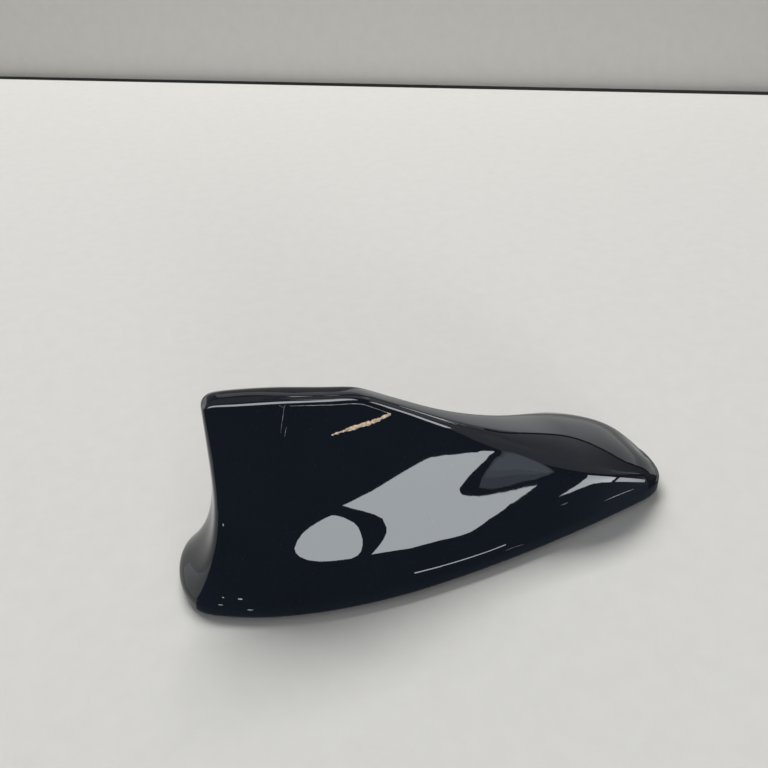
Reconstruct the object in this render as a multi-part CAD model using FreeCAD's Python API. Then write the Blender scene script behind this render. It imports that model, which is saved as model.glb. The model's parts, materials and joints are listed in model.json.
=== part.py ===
"""Roof antenna with a fin-shaped painted cover: cover, cast base, seals, board, radiators, sockets.

Frame: +X points to the nose, +Y to the left, +Z up. The roof skin is z = 0, under the middle
of the gasket. All sizes are in millimetres.
"""
import FreeCAD, Part
import os

# Overall size of the cover
LENGTH = 160.0
WIDTH = 52.8
HEIGHT = 67.8
RIM_LIFT = 2.0
SKIRT = 4.0
WALL = 2.2
CAVITY_OVERCUT = 1.0

# The cover's form, one entry per station from the nose round the side to the tail.
# Rim: (share of half length, share of half width).
RIM = [(1.0, 0.0), (1.0, 0.227), (0.963, 0.455), (0.825, 0.549), (0.662, 0.659), (0.475, 0.769),
       (0.275, 0.867), (0.075, 0.943), (-0.075, 0.981), (-0.181, 1.0), (-0.269, 1.0), (-0.375, 0.992),
       (-0.537, 0.947), (-0.725, 0.833), (-0.864, 0.663), (-0.963, 0.523), (-1.0, 0.212), (-1.0, 0.0)]
# Shoulder between side wall and deck: (share of half length, of half width, of height).
SHOULDER = [(0.985, 0.0, 0.094), (0.985, 0.189, 0.094), (0.949, 0.386, 0.118), (0.826, 0.553, 0.236),
            (0.662, 0.667, 0.313), (0.494, 0.595, 0.383), (0.312, 0.364, 0.478), (0.075, 0.17, 0.633),
            (-0.075, 0.133, 0.746), (-0.181, 0.121, 0.824), (-0.259, 0.121, 0.881),
            (-0.356, 0.125, 0.898), (-0.537, 0.136, 0.953), (-0.688, 0.14, 0.978), (-0.746, 0.125, 0.99),
            (-0.775, 0.106, 0.981), (-0.789, 0.083, 0.962), (-0.789, 0.0, 0.959)]
# Crown on the middle plane: (share of half length, of height).
CROWN = [(0.97, 0.114), (0.953, 0.137), (0.909, 0.198), (0.82, 0.313), (0.662, 0.382), (0.494, 0.463),
         (0.312, 0.522), (0.075, 0.65), (-0.075, 0.76), (-0.181, 0.835), (-0.255, 0.892), (-0.356, 0.909),
         (-0.537, 0.965), (-0.628, 0.987), (-0.705, 0.998), (-0.729, 1.0), (-0.735, 1.0), (-0.738, 1.0)]
# Side wall section: share of it that is straight, and the power of the flare below.
STRAIGHT = [0.45] * 12 + [0.42, 0.36, 0.26, 0.26, 0.17, 0.17]
FLARE = [3.0] * 13 + [3.4, 5.3, 4.6, 6.7, 6.7]
WALL_HEIGHTS = (0.06, 0.2, 0.42, 0.64, 0.84)
# Rounding of the shoulder: crisp along the fin and the nose, soft where the deck spreads out.
CRISP_EDGE = 1.3
SOFT_EDGE = 6.0
SOFTNESS = [0.0] * 4 + [0.064, 0.681, 1.0, 0.362, 0.064] + [0.0] * 9

# Seals and cast base
GASKET_THICKNESS = 2.4
GASKET_INSET = 2.8
BASE_THICKNESS = 3.0
BASE_GAP = 2.5
SEAL_HEIGHT = 1.0
SEAL_CLEARANCE = 0.5
STANDOFF_HEIGHT = 7.0
STANDOFF_RADIUS = 2.6

# Roof fixing: a steel insert in a cast boss, open downwards
INSERT_RADIUS = 4.5
INSERT_LENGTH = 8.0
THREAD_RADIUS = 2.5
FIXING_BOSS_WALL = 2.0
FIXING_BOSS_ROOF = 1.0
FIXING_X = 2.0
FIXING_WINDOW_GAP = 1.5

# Cover screws and the cover's screw bosses
BOSS_RADIUS = 3.0
BOSS_INSET = 9.0
NOSE_BOSS_SETBACK = 16.0
SIDE_BOSS_X = 20.0
REAR_BOSS_SETBACK = 28.0
SCREW_RADIUS = 1.25
SCREW_CLEARANCE = 0.25
COVER_SCREW_GRIP = 6.0
SCREW_HEAD_RADIUS = 2.4
SCREW_HEAD_HEIGHT = 1.5
SCREW_TIP_ROOM = 0.5
WINDOW_CLEARANCE = 0.8
DRIVE_RADIUS = 1.1
DRIVE_DEPTH = 0.8

# Circuit board
BOARD_THICKNESS = 1.6
BOARD_GAP = 1.2
BOARD_NOSE_ROOM = 23.0
BOARD_TAIL_ROOM = 20.0
BOARD_SCREW_GRIP = 5.0
BOARD_SCREW_MARGIN = 6.0
SIDE_SCREW_EDGE = 4.4

# Satellite patch
PATCH_SIZE = 18.0
PATCH_THICKNESS = 4.0
PATCH_PAD_THICKNESS = 0.8
PATCH_PAD_MARGIN = 1.0
FEED_PIN_RADIUS = 0.5
FEED_PIN_OFFSET = 2.0
FEED_PIN_TAIL = 1.0
FEED_PIN_HEAD_RADIUS = 1.0
FEED_PIN_HEAD_HEIGHT = 0.3

# Telephone radiators, stamped from sheet
SHEET = 0.4
BLADE_LENGTH = 11.0
BLADE_HEIGHT = 13.0
BLADE_FOOT = 3.0
BLADE_FOOT_HEIGHT = 2.0
REAR_BLADE_Y = 7.5
REAR_BLADE_SETBACK = 16.0

# Screening can
CAN_LENGTH = 18.0
CAN_WIDTH = 15.0
CAN_HEIGHT = 4.0
CAN_SHEET = 0.3

# Loading coil on its bobbin
BOBBIN_CORE_RADIUS = 2.0
BOBBIN_FLANGE_RADIUS = 3.4
BOBBIN_FLANGE = 1.2
COIL_TURNS = 9
COIL_PITCH = 1.1
WIRE_RADIUS = 0.3
WINDING_CLEARANCE = 0.03

# Radio radiator in the fin: a folded hat on a moulded carrier
CARRIER_THICKNESS = 3.2
CARRIER_FRAME = 5.0
CARRIER_FOOT_WIDTH = 9.0
CARRIER_FOOT_HEIGHT = 1.6
HAT_DROP = 13.0
HAT_WING = 7.0
HAT_CLEARANCE = 0.1
SPRING_WIDTH = 2.0
SPRING_SHEET = 0.4
SPRING_LAP = 4.0

# Coaxial sockets that face down through the base
SOCKET_SIZE = 8.4
SOCKET_WALL = 1.0
SOCKET_LIFT = 0.2
SOCKET_PITCH = 10.4
SOCKET_GAP = 3.5
SOCKET_WINDOW_GAP = 0.4
SOCKET_FLOOR = 1.6
SHIELD_RADIUS = 1.9
SHIELD_WALL = 0.35
SHIELD_LENGTH = 3.4
SOCKET_PIN_RADIUS = 0.45
SOCKET_PIN_REACH = 0.6

# Gap between neighbours on the board
PART_GAP = 1.5

half_length = LENGTH / 2
half_width = WIDTH / 2
base_bottom = GASKET_THICKNESS
base_top = base_bottom + BASE_THICKNESS
board_bottom = base_top + STANDOFF_HEIGHT
board_top = board_bottom + BOARD_THICKNESS
parts = {}


def vector(x, y, z):
    return FreeCAD.Vector(x, y, z)


def block(x_low, x_high, y_low, y_high, z_low, z_high):
    size = (x_high - x_low, y_high - y_low, z_high - z_low)
    return Part.makeBox(*size, vector(x_low, y_low, z_low))


def rod(x, y, z_low, z_high, radius):
    return Part.makeCylinder(radius, z_high - z_low, vector(x, y, z_low))


def side_profile(points, thickness, y=0.0):
    """Prism of a profile drawn in the x-z plane, centred on the plane at y."""
    corners = [vector(x, y - thickness / 2, z) for x, z in points]
    face = Part.Face(Part.makePolygon(corners + corners[:1]))
    return face.extrude(vector(0, thickness, 0))


def spline_knots(count):
    """Uniform clamped cubic knots for a row of that many poles."""
    spans = count - 3
    return [4] + [1] * (spans - 1) + [4], [float(knot) for knot in range(spans + 1)]


def outline_edge(inset):
    """Half of the rim outline, drawn in by the inset, on the right-hand side."""
    across = 1 - inset / half_width
    along = 1 - inset / half_length
    poles = [vector(x * half_length * along, -y * half_width * across, 0) for x, y in RIM]
    multiplicities, knots = spline_knots(len(poles))
    curve = Part.BSplineCurve()
    curve.buildFromPolesMultsKnots(poles, multiplicities, knots, False, 3)
    return curve.toShape()


def outline_plate(inset, z_low, z_high):
    """Plate with the rim's outline, drawn in by the inset."""
    edge = outline_edge(inset)
    mirrored = edge.mirror(vector(0, 0, 0), vector(0, 1, 0))
    plate = Part.Face(Part.Wire([edge, mirrored])).extrude(vector(0, 0, z_high - z_low))
    plate.translate(vector(0, 0, z_low))
    return plate


def outline_half_width(x, inset):
    """Half width of the drawn-in outline at a station along the length."""
    cutter = Part.makeLine(vector(x, -WIDTH, 0), vector(x, 0, 0))
    return -outline_edge(inset).distToShape(cutter)[1][0][0].y


def station_poles(index, inset, bottom):
    """Poles of one rib of the skin, from the rim over the shoulder to the crown."""
    across = 1 - inset / half_width
    along = 1 - inset / half_length
    rim = vector(RIM[index][0] * half_length * along, -RIM[index][1] * half_width * across, 0)
    share_x, share_y, share_z = SHOULDER[index]
    end_x = SHOULDER[0][0] if share_x > 0 else -SHOULDER[-1][0]
    full_y = SHOULDER[min(max(index, 2), len(SHOULDER) - 4)][1]
    shoulder_x = share_x * half_length - inset * share_x / end_x
    shoulder_y = share_y * half_width - inset * share_y / full_y
    shoulder = vector(shoulder_x, -shoulder_y, share_z * HEIGHT - inset)
    crown_x = CROWN[index][0] * half_length - inset * share_x / end_x
    crown = vector(crown_x, 0, CROWN[index][1] * HEIGHT - inset)
    skirt_top = RIM_LIFT + SKIRT - inset

    def wall(rise):
        left = 1 - rise
        spread = STRAIGHT[index] * left + (1 - STRAIGHT[index]) * left ** FLARE[index]
        point = shoulder + (rim - shoulder) * spread
        return vector(point.x, point.y, skirt_top + (shoulder.z - skirt_top) * rise)

    poles = [vector(rim.x, rim.y, bottom)]
    poles.append(vector(rim.x, rim.y, (RIM_LIFT + skirt_top) / 2))
    poles.append(vector(rim.x, rim.y, skirt_top))
    poles += [wall(rise) for rise in WALL_HEIGHTS]
    below = poles[-1] - shoulder
    above = crown - shoulder
    edge = CRISP_EDGE + (SOFT_EDGE - CRISP_EDGE) * SOFTNESS[index]
    lower = shoulder + below * min(0.9, edge / below.Length)
    upper = shoulder + above * min(0.45, edge / above.Length)
    soften = 0.6 * (edge - CRISP_EDGE) / edge
    poles.append(lower)
    poles.append(shoulder + ((lower + upper) * 0.5 - shoulder) * soften)
    poles.append(upper)
    arch_x = crown.x + (shoulder.x - crown.x) * 0.55
    arch_z = shoulder.z + (crown.z - shoulder.z) * 0.78
    poles.append(vector(arch_x, shoulder.y * 0.62, arch_z))
    poles.append(vector(crown.x, shoulder.y * 0.28, crown.z))
    poles.append(crown)
    return poles


def form(inset, bottom):
    """Solid inside the skin that lies an inset below the painted surface."""
    poles = [station_poles(index, inset, bottom) for index in range(len(RIM))]
    u_multiplicities, u_knots = spline_knots(len(poles))
    v_multiplicities, v_knots = spline_knots(len(poles[0]))
    skin = Part.BSplineSurface()
    skin.buildFromPolesMultsKnots(poles, u_multiplicities, v_multiplicities,
                                  u_knots, v_knots, False, False, 3, 3)
    right = skin.toShape()
    left = right.mirror(vector(0, 0, 0), vector(0, 1, 0))
    edge = outline_edge(inset)
    edge.translate(vector(0, 0, bottom))
    floor = Part.Face(Part.Wire([edge, edge.mirror(vector(0, 0, 0), vector(0, 1, 0))]))
    shell = Part.makeShell([right, left, floor])
    shell.sewShape()
    solid = Part.Solid(shell)
    if solid.Volume < 0:
        solid.reverse()
    return solid


def fin_top(x):
    """Height of the fin's crown at a station, between the two ends of its straight top."""
    rear_x, rear_z = CROWN[13][0] * half_length, CROWN[13][1] * HEIGHT
    front_x, front_z = CROWN[11][0] * half_length, CROWN[11][1] * HEIGHT
    return rear_z + (front_z - rear_z) * (x - rear_x) / (front_x - rear_x)


def screw(x, y, z, grip, up):
    """Pan-head screw with its head's seat at z, its shank pointing up or down."""
    way = 1 if up else -1
    spans = sorted((z, z + way * grip))
    shank = rod(x, y, spans[0], spans[1], SCREW_RADIUS)
    spans = sorted((z, z - way * SCREW_HEAD_HEIGHT))
    head = rod(x, y, spans[0], spans[1], SCREW_HEAD_RADIUS)
    top = z - way * SCREW_HEAD_HEIGHT
    spans = sorted((top, top + way * DRIVE_DEPTH))
    drive = rod(x, y, spans[0], spans[1], DRIVE_RADIUS)
    return head.fuse(shank).removeSplitter().cut(drive)


# Places along the length that several pieces share
boss_places = [(half_length - NOSE_BOSS_SETBACK, 0.0)]
for boss_x in (SIDE_BOSS_X, -half_length + REAR_BOSS_SETBACK):
    boss_y = outline_half_width(boss_x, BOSS_INSET)
    boss_places += [(boss_x, boss_y), (boss_x, -boss_y)]

board_front = half_length - BOARD_NOSE_ROOM
board_rear = -half_length + BOARD_TAIL_ROOM
front_screw_x = board_front - BOARD_SCREW_MARGIN
rear_screw_x = board_rear + BOARD_SCREW_MARGIN
patch_front = front_screw_x - SCREW_HEAD_RADIUS - PART_GAP
patch_x = patch_front - PATCH_SIZE / 2
front_blade_x = patch_front - PATCH_SIZE - PART_GAP - BLADE_LENGTH / 2
can_front = front_blade_x - BLADE_LENGTH / 2 - PART_GAP
can_rear = can_front - CAN_LENGTH
coil_x = can_rear - PART_GAP - BOBBIN_FLANGE_RADIUS
carrier_front = coil_x - BOBBIN_FLANGE_RADIUS - PART_GAP
carrier_rear = rear_screw_x + SCREW_HEAD_RADIUS + PART_GAP
board_inset = BOSS_INSET + BOSS_RADIUS + BOARD_GAP
side_screw_y = outline_half_width(front_blade_x, board_inset) - SIDE_SCREW_EDGE
board_screws = [(front_screw_x, 0.0), (front_blade_x, side_screw_y), (front_blade_x, -side_screw_y),
                (rear_screw_x, 0.0)]
rear_blade_x = board_rear + REAR_BLADE_SETBACK

fixing_radius = INSERT_RADIUS + FIXING_BOSS_WALL
fixing_top = base_bottom + INSERT_LENGTH + FIXING_BOSS_ROOF
first_socket_x = FIXING_X - fixing_radius - SOCKET_GAP - SOCKET_SIZE / 2
socket_places = {"radio_socket": first_socket_x, "data_socket": first_socket_x - SOCKET_PITCH}
window_front = first_socket_x + SOCKET_SIZE / 2 + SOCKET_WINDOW_GAP
window_rear = first_socket_x - SOCKET_PITCH - SOCKET_SIZE / 2 - SOCKET_WINDOW_GAP
window_half = SOCKET_SIZE / 2 + SOCKET_WINDOW_GAP
head_seat = base_bottom + SCREW_HEAD_HEIGHT


def make_cover():
    """Painted moulded shell with five screw bosses inside."""
    cavity = form(WALL, RIM_LIFT - CAVITY_OVERCUT)
    for x, y in boss_places:
        cavity = cavity.cut(rod(x, y, base_top, HEIGHT, BOSS_RADIUS))
    cover = form(0.0, RIM_LIFT).cut(cavity)
    hole_top = head_seat + COVER_SCREW_GRIP + SCREW_TIP_ROOM
    for x, y in boss_places:
        cover = cover.cut(rod(x, y, base_top, hole_top, SCREW_RADIUS))
    return cover


def make_gasket():
    """Rubber pad between base and roof, open at the screws, the fixing and the sockets."""
    gasket = outline_plate(GASKET_INSET, 0.0, GASKET_THICKNESS)
    for x, y in boss_places:
        gasket = gasket.cut(rod(x, y, 0, GASKET_THICKNESS, SCREW_HEAD_RADIUS + WINDOW_CLEARANCE))
    gasket = gasket.cut(rod(FIXING_X, 0, 0, GASKET_THICKNESS, INSERT_RADIUS + FIXING_WINDOW_GAP))
    window = (window_rear, window_front, -window_half, window_half)
    return gasket.cut(block(*window, 0, GASKET_THICKNESS))


def make_base():
    """Cast plate with board standoffs, the fixing boss, screw holes and the socket window."""
    base = outline_plate(WALL + BASE_GAP, base_bottom, base_top)
    base = base.fuse(rod(FIXING_X, 0, base_bottom, fixing_top, fixing_radius))
    for x, y in board_screws:
        base = base.fuse(rod(x, y, base_bottom, board_bottom, STANDOFF_RADIUS))
    for x, y in board_screws:
        hole_bottom = board_top - BOARD_SCREW_GRIP - SCREW_TIP_ROOM
        base = base.cut(rod(x, y, hole_bottom, board_bottom, SCREW_RADIUS))
    for x, y in boss_places:
        base = base.cut(rod(x, y, base_bottom, base_top, SCREW_RADIUS + SCREW_CLEARANCE))
        base = base.cut(rod(x, y, base_bottom, head_seat, SCREW_HEAD_RADIUS + SCREW_CLEARANCE))
    base = base.cut(rod(FIXING_X, 0, base_bottom, base_bottom + INSERT_LENGTH, INSERT_RADIUS))
    window = (window_rear, window_front, -window_half, window_half)
    return base.cut(block(*window, base_bottom, base_top)).removeSplitter()


def make_seal():
    """Soft ring round the base's edge, inside the cover's skirt."""
    outer = outline_plate(WALL + SEAL_CLEARANCE, base_bottom, base_bottom + SEAL_HEIGHT)
    return outer.cut(outline_plate(WALL + BASE_GAP, base_bottom, base_bottom + SEAL_HEIGHT))


def make_board():
    """Circuit board on the base's standoffs, clear of the cover's bosses."""
    board = outline_plate(board_inset, board_bottom, board_top)
    board = board.common(block(board_rear, board_front, -WIDTH, WIDTH, board_bottom, board_top))
    for x, y in board_screws:
        board = board.cut(rod(x, y, board_bottom, board_top, SCREW_RADIUS + SCREW_CLEARANCE))
    return board.cut(rod(patch_x + FEED_PIN_OFFSET, 0, board_bottom, board_top, FEED_PIN_RADIUS))


def make_patch():
    """Ceramic tile, its adhesive pad and the feed pin through both and the board."""
    pad_top = board_top + PATCH_PAD_THICKNESS
    patch_top = pad_top + PATCH_THICKNESS
    pin_x = patch_x + FEED_PIN_OFFSET
    half = PATCH_SIZE / 2
    tile = block(patch_x - half, patch_x + half, -half, half, pad_top, patch_top)
    parts["patch_tile"] = tile.cut(rod(pin_x, 0, pad_top, patch_top, FEED_PIN_RADIUS))
    half -= PATCH_PAD_MARGIN
    pad = block(patch_x - half, patch_x + half, -half, half, board_top, pad_top)
    parts["patch_pad"] = pad.cut(rod(pin_x, 0, board_top, pad_top, FEED_PIN_RADIUS))
    pin = rod(pin_x, 0, board_bottom - FEED_PIN_TAIL, patch_top, FEED_PIN_RADIUS)
    head = rod(pin_x, 0, patch_top, patch_top + FEED_PIN_HEAD_HEIGHT, FEED_PIN_HEAD_RADIUS)
    parts["patch_feed_pin"] = pin.fuse(head).removeSplitter()


def blade(x, y):
    """Stamped radiator that stands on the board on one narrow foot."""
    half = BLADE_LENGTH / 2
    foot_top = board_top + BLADE_FOOT_HEIGHT
    top = board_top + BLADE_HEIGHT
    points = [(x - BLADE_FOOT / 2, board_top), (x + BLADE_FOOT / 2, board_top),
              (x + BLADE_FOOT / 2, foot_top), (x + half, foot_top + BLADE_FOOT), (x + half, top),
              (x - half, top), (x - half, foot_top + BLADE_FOOT), (x - BLADE_FOOT / 2, foot_top)]
    return side_profile(points, SHEET, y)


def make_can():
    """Screening can, open to the board."""
    half = CAN_WIDTH / 2
    can_top = board_top + CAN_HEIGHT
    outer = block(can_rear, can_front, -half, half, board_top, can_top)
    inner = block(can_rear + CAN_SHEET, can_front - CAN_SHEET, -half + CAN_SHEET, half - CAN_SHEET,
                  board_top, can_top - CAN_SHEET)
    return outer.cut(inner)


coil_height = COIL_TURNS * COIL_PITCH + 2 * WIRE_RADIUS
bobbin_top = board_top + coil_height + 2 * BOBBIN_FLANGE


def make_coil():
    """Bobbin on the board and the wire wound round its core."""
    low = board_top + BOBBIN_FLANGE
    bobbin = rod(coil_x, 0, board_top, bobbin_top, BOBBIN_CORE_RADIUS)
    bobbin = bobbin.fuse(rod(coil_x, 0, board_top, low, BOBBIN_FLANGE_RADIUS))
    bobbin = bobbin.fuse(rod(coil_x, 0, bobbin_top - BOBBIN_FLANGE, bobbin_top, BOBBIN_FLANGE_RADIUS))
    parts["coil_bobbin"] = bobbin.removeSplitter()
    winding_radius = BOBBIN_CORE_RADIUS + WINDING_CLEARANCE + WIRE_RADIUS
    helix = Part.makeHelix(COIL_PITCH, COIL_TURNS * COIL_PITCH, winding_radius)
    circle = Part.makeCircle(WIRE_RADIUS, vector(winding_radius, 0, 0), vector(0, 1, 0))
    wire = Part.Wire(helix.Edges).makePipeShell([Part.Wire(circle)], True, True)
    wire.translate(vector(coil_x, 0, low + WIRE_RADIUS))
    parts["loading_coil"] = wire


def make_carrier():
    """Moulded frame that stands on the board and holds the hat up in the fin."""
    front_top = fin_top(carrier_front) - HAT_DROP
    rear_top = fin_top(carrier_rear) - HAT_DROP
    outer = [(carrier_rear, board_top), (carrier_front, board_top),
             (carrier_front, front_top), (carrier_rear, rear_top)]
    low = board_top + CARRIER_FRAME
    rail = CARRIER_FRAME + HAT_WING
    inner = [(carrier_rear + CARRIER_FRAME, low), (carrier_front - CARRIER_FRAME, low),
             (carrier_front - CARRIER_FRAME, front_top - rail), (carrier_rear + CARRIER_FRAME, rear_top - rail)]
    frame = side_profile(outer, CARRIER_THICKNESS).cut(side_profile(inner, CARRIER_THICKNESS))
    half = CARRIER_FOOT_WIDTH / 2
    for low_x in (carrier_rear, carrier_front - CARRIER_FRAME):
        foot_top = board_top + CARRIER_FOOT_HEIGHT
        frame = frame.fuse(block(low_x, low_x + CARRIER_FRAME, -half, half, board_top, foot_top))
    parts["element_carrier"] = frame.removeSplitter()
    inside = CARRIER_THICKNESS + 2 * HAT_CLEARANCE
    roof = [(carrier_rear, rear_top - HAT_WING), (carrier_front, front_top - HAT_WING),
            (carrier_front, front_top + SHEET), (carrier_rear, rear_top + SHEET)]
    hollow = [(carrier_rear, rear_top - HAT_WING), (carrier_front, front_top - HAT_WING),
              (carrier_front, front_top), (carrier_rear, rear_top)]
    folded = side_profile(roof, inside + 2 * SHEET)
    parts["radiator_hat"] = folded.cut(side_profile(hollow, inside))


def make_spring():
    """Bent strip from the top of the coil to the front end of the hat."""
    hat_z = fin_top(carrier_front) - HAT_DROP + SHEET
    front = carrier_front + SPRING_SHEET
    toe = bobbin_top + SPRING_SHEET
    bend_z = hat_z - SPRING_LAP
    points = [(coil_x + BOBBIN_CORE_RADIUS, bobbin_top), (coil_x + BOBBIN_CORE_RADIUS, toe),
              (coil_x, toe), (front, bend_z), (front, hat_z), (carrier_front, hat_z),
              (carrier_front, bend_z), (coil_x - SPRING_SHEET, toe), (coil_x - SPRING_SHEET, bobbin_top)]
    return side_profile(points, SPRING_WIDTH)


def make_socket(name, x):
    """Coaxial socket under the board: shroud, shield tube, insulator and centre pin."""
    half = SOCKET_SIZE / 2
    inner = half - SOCKET_WALL
    mouth = base_bottom + SOCKET_LIFT
    floor = board_bottom - SOCKET_FLOOR
    low = floor - SHIELD_LENGTH
    bore = SHIELD_RADIUS - SHIELD_WALL
    shroud = block(x - half, x + half, -half, half, mouth, board_bottom)
    shroud = shroud.cut(block(x - inner, x + inner, -inner, inner, mouth, floor))
    parts[name + "_shroud"] = shroud.cut(rod(x, 0, floor, board_bottom, SHIELD_RADIUS))
    shield = rod(x, 0, low, board_bottom, SHIELD_RADIUS)
    parts[name + "_shield"] = shield.cut(rod(x, 0, low, board_bottom, bore))
    insulator_low = low + SOCKET_PIN_REACH
    insulator = rod(x, 0, insulator_low, board_bottom, bore)
    parts[name + "_insulator"] = insulator.cut(rod(x, 0, insulator_low, board_bottom, SOCKET_PIN_RADIUS))
    parts[name + "_pin"] = rod(x, 0, low, board_bottom, SOCKET_PIN_RADIUS)


def make_insert():
    """Threaded steel insert for the roof bolt."""
    insert = rod(FIXING_X, 0, base_bottom, base_bottom + INSERT_LENGTH, INSERT_RADIUS)
    return insert.cut(rod(FIXING_X, 0, base_bottom, base_bottom + INSERT_LENGTH, THREAD_RADIUS))


parts["cover"] = make_cover()
parts["roof_gasket"] = make_gasket()
parts["base_plate"] = make_base()
parts["cover_seal"] = make_seal()
parts["main_board"] = make_board()
parts["threaded_insert"] = make_insert()
parts["screening_can"] = make_can()
parts["front_telephone_blade"] = blade(front_blade_x, 0.0)
parts["rear_telephone_blade"] = blade(rear_blade_x, REAR_BLADE_Y)
parts["contact_spring"] = make_spring()
make_patch()
make_coil()
make_carrier()
for socket_name, socket_x in socket_places.items():
    make_socket(socket_name, socket_x)
parts["cover_screws"] = Part.makeCompound(
    [screw(x, y, head_seat, COVER_SCREW_GRIP, True) for x, y in boss_places])
parts["board_screws"] = Part.makeCompound(
    [screw(x, y, board_top, BOARD_SCREW_GRIP, False) for x, y in board_screws])

os.makedirs("parts", exist_ok=True)
for node, shape in parts.items():
    shape.exportStep(f"parts/{node}.step")
    print(node, len(shape.Solids), round(shape.Volume, 1), shape.isValid())
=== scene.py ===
import json
import math

import bpy
import bmesh
import numpy as np
from mathutils import Matrix, Vector


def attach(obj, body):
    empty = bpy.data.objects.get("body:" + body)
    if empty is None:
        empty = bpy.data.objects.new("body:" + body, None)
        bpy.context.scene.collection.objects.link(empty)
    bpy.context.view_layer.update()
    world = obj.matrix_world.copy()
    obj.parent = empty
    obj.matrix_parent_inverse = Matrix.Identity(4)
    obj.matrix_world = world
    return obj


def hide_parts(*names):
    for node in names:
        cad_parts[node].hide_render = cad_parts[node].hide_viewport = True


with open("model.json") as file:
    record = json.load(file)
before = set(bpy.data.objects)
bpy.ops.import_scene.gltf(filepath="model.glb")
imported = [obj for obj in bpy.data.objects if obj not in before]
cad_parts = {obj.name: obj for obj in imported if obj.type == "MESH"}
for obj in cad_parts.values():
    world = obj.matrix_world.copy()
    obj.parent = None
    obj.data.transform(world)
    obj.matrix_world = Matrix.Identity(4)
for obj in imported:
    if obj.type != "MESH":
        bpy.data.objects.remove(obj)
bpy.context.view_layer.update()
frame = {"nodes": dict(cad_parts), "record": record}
scene = bpy.context.scene
scene.view_settings.view_transform = "Standard"
MM = 0.001

# The cover's form: the same stations and sizes as the part's own cover, in millimetres.
LENGTH, WIDTH, HEIGHT = 160.0, 52.8, 67.8
RIM_LIFT, SKIRT, WALL, BASE_TOP = 2.0, 4.0, 2.2, 5.4
RIM = [(1.0, 0.0), (1.0, 0.227), (0.963, 0.455), (0.825, 0.549), (0.662, 0.659), (0.475, 0.769),
       (0.275, 0.867), (0.075, 0.943), (-0.075, 0.981), (-0.181, 1.0), (-0.269, 1.0), (-0.375, 0.992),
       (-0.537, 0.947), (-0.725, 0.833), (-0.864, 0.663), (-0.963, 0.523), (-1.0, 0.212), (-1.0, 0.0)]
SHOULDER = [(0.985, 0.0, 0.094), (0.985, 0.189, 0.094), (0.949, 0.386, 0.118), (0.826, 0.553, 0.236),
            (0.662, 0.667, 0.313), (0.494, 0.595, 0.383), (0.312, 0.364, 0.478), (0.075, 0.17, 0.633),
            (-0.075, 0.133, 0.746), (-0.181, 0.121, 0.824), (-0.259, 0.121, 0.881),
            (-0.356, 0.125, 0.898), (-0.537, 0.136, 0.953), (-0.688, 0.14, 0.978), (-0.746, 0.125, 0.99),
            (-0.775, 0.106, 0.981), (-0.789, 0.083, 0.962), (-0.789, 0.0, 0.959)]
CROWN = [(0.97, 0.114), (0.953, 0.137), (0.909, 0.198), (0.82, 0.313), (0.662, 0.382), (0.494, 0.463),
         (0.312, 0.522), (0.075, 0.65), (-0.075, 0.76), (-0.181, 0.835), (-0.255, 0.892), (-0.356, 0.909),
         (-0.537, 0.965), (-0.628, 0.987), (-0.705, 0.998), (-0.729, 1.0), (-0.735, 1.0), (-0.738, 1.0)]
STRAIGHT = [0.45] * 12 + [0.42, 0.36, 0.26, 0.26, 0.17, 0.17]
FLARE = [3.0] * 13 + [3.4, 5.3, 4.6, 6.7, 6.7]
WALL_HEIGHTS = (0.06, 0.2, 0.42, 0.64, 0.84)
CRISP_EDGE, SOFT_EDGE = 1.3, 6.0
SOFTNESS = [0.0] * 4 + [0.064, 0.681, 1.0, 0.362, 0.064] + [0.0] * 9
# Limits of the shoulder's rounding, how far it is softened, and places of the deck's rows of poles
BELOW_LIMIT, ABOVE_LIMIT, SOFTENING = 0.9, 0.45, 0.6
DECK_ALONG, DECK_ACROSS, DECK_UP, CROWN_ACROSS = 0.55, 0.62, 0.78, 0.28


def skin_poles(inset, bottom):
    """Poles of the right-hand half of the skin that lies an inset below the paint."""
    half_length, half_width = LENGTH / 2, WIDTH / 2
    across, along = 1 - inset / half_width, 1 - inset / half_length
    skirt_top = RIM_LIFT + SKIRT - inset
    net = []
    for k in range(len(RIM)):
        rim = np.array([RIM[k][0] * half_length * along, -RIM[k][1] * half_width * across])
        sx, sy, sz = SHOULDER[k]
        end_x = SHOULDER[0][0] if sx > 0 else -SHOULDER[-1][0]
        full_y = SHOULDER[min(max(k, 2), len(SHOULDER) - 4)][1]
        draw = inset * sx / end_x
        shoulder = np.array([sx * half_length - draw, -(sy * half_width - inset * sy / full_y),
                             sz * HEIGHT - inset])
        crown = np.array([CROWN[k][0] * half_length - draw, 0.0, CROWN[k][1] * HEIGHT - inset])
        rows = [[*rim, bottom], [*rim, (RIM_LIFT + skirt_top) / 2], [*rim, skirt_top]]
        for rise in WALL_HEIGHTS:
            left = 1 - rise
            spread = STRAIGHT[k] * left + (1 - STRAIGHT[k]) * left ** FLARE[k]
            flat = shoulder[:2] + (rim - shoulder[:2]) * spread
            rows.append([*flat, skirt_top + (shoulder[2] - skirt_top) * rise])
        below, above = np.array(rows[-1]) - shoulder, crown - shoulder
        edge = CRISP_EDGE + (SOFT_EDGE - CRISP_EDGE) * SOFTNESS[k]
        lower = shoulder + below * min(BELOW_LIMIT, edge / np.linalg.norm(below))
        upper = shoulder + above * min(ABOVE_LIMIT, edge / np.linalg.norm(above))
        soften = SOFTENING * (edge - CRISP_EDGE) / edge
        rows += [lower, shoulder + ((lower + upper) / 2 - shoulder) * soften, upper]
        rows.append([crown[0] + (shoulder[0] - crown[0]) * DECK_ALONG, shoulder[1] * DECK_ACROSS,
                     shoulder[2] + (crown[2] - shoulder[2]) * DECK_UP])
        rows.append([crown[0], shoulder[1] * CROWN_ACROSS, crown[2]])
        rows.append(crown)
        net.append(np.array(rows, float))
    return np.array(net)


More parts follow.
